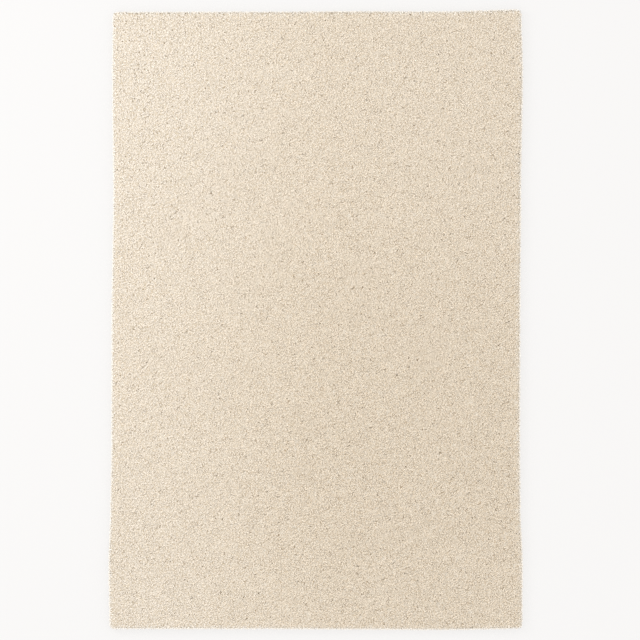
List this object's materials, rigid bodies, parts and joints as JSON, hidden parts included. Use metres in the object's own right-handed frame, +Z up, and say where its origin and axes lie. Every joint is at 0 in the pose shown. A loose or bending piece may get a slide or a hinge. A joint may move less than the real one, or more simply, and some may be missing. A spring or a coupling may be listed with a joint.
{
  "type": "shag rug",
  "caption": "Rectangular cream shag rug lying flat: a lumpy deep pile slab with locks of yarn round its rim and a flat underside.",
  "frame": {"origin": "on the floor under the middle of the rug", "axes": "+X across the rug, +Y along its length towards the head of the picture, +Z up from the floor"},
  "size_m": [1.6116, 2.4116, 0.0314],
  "materials": {
    "pile_yarn": "soft twisted pile yarn, long and tousled, with a slight lustre"
  },
  "bodies": {
    "root": {"shag_rug": "pile_yarn"}
  },
  "joints": []
}
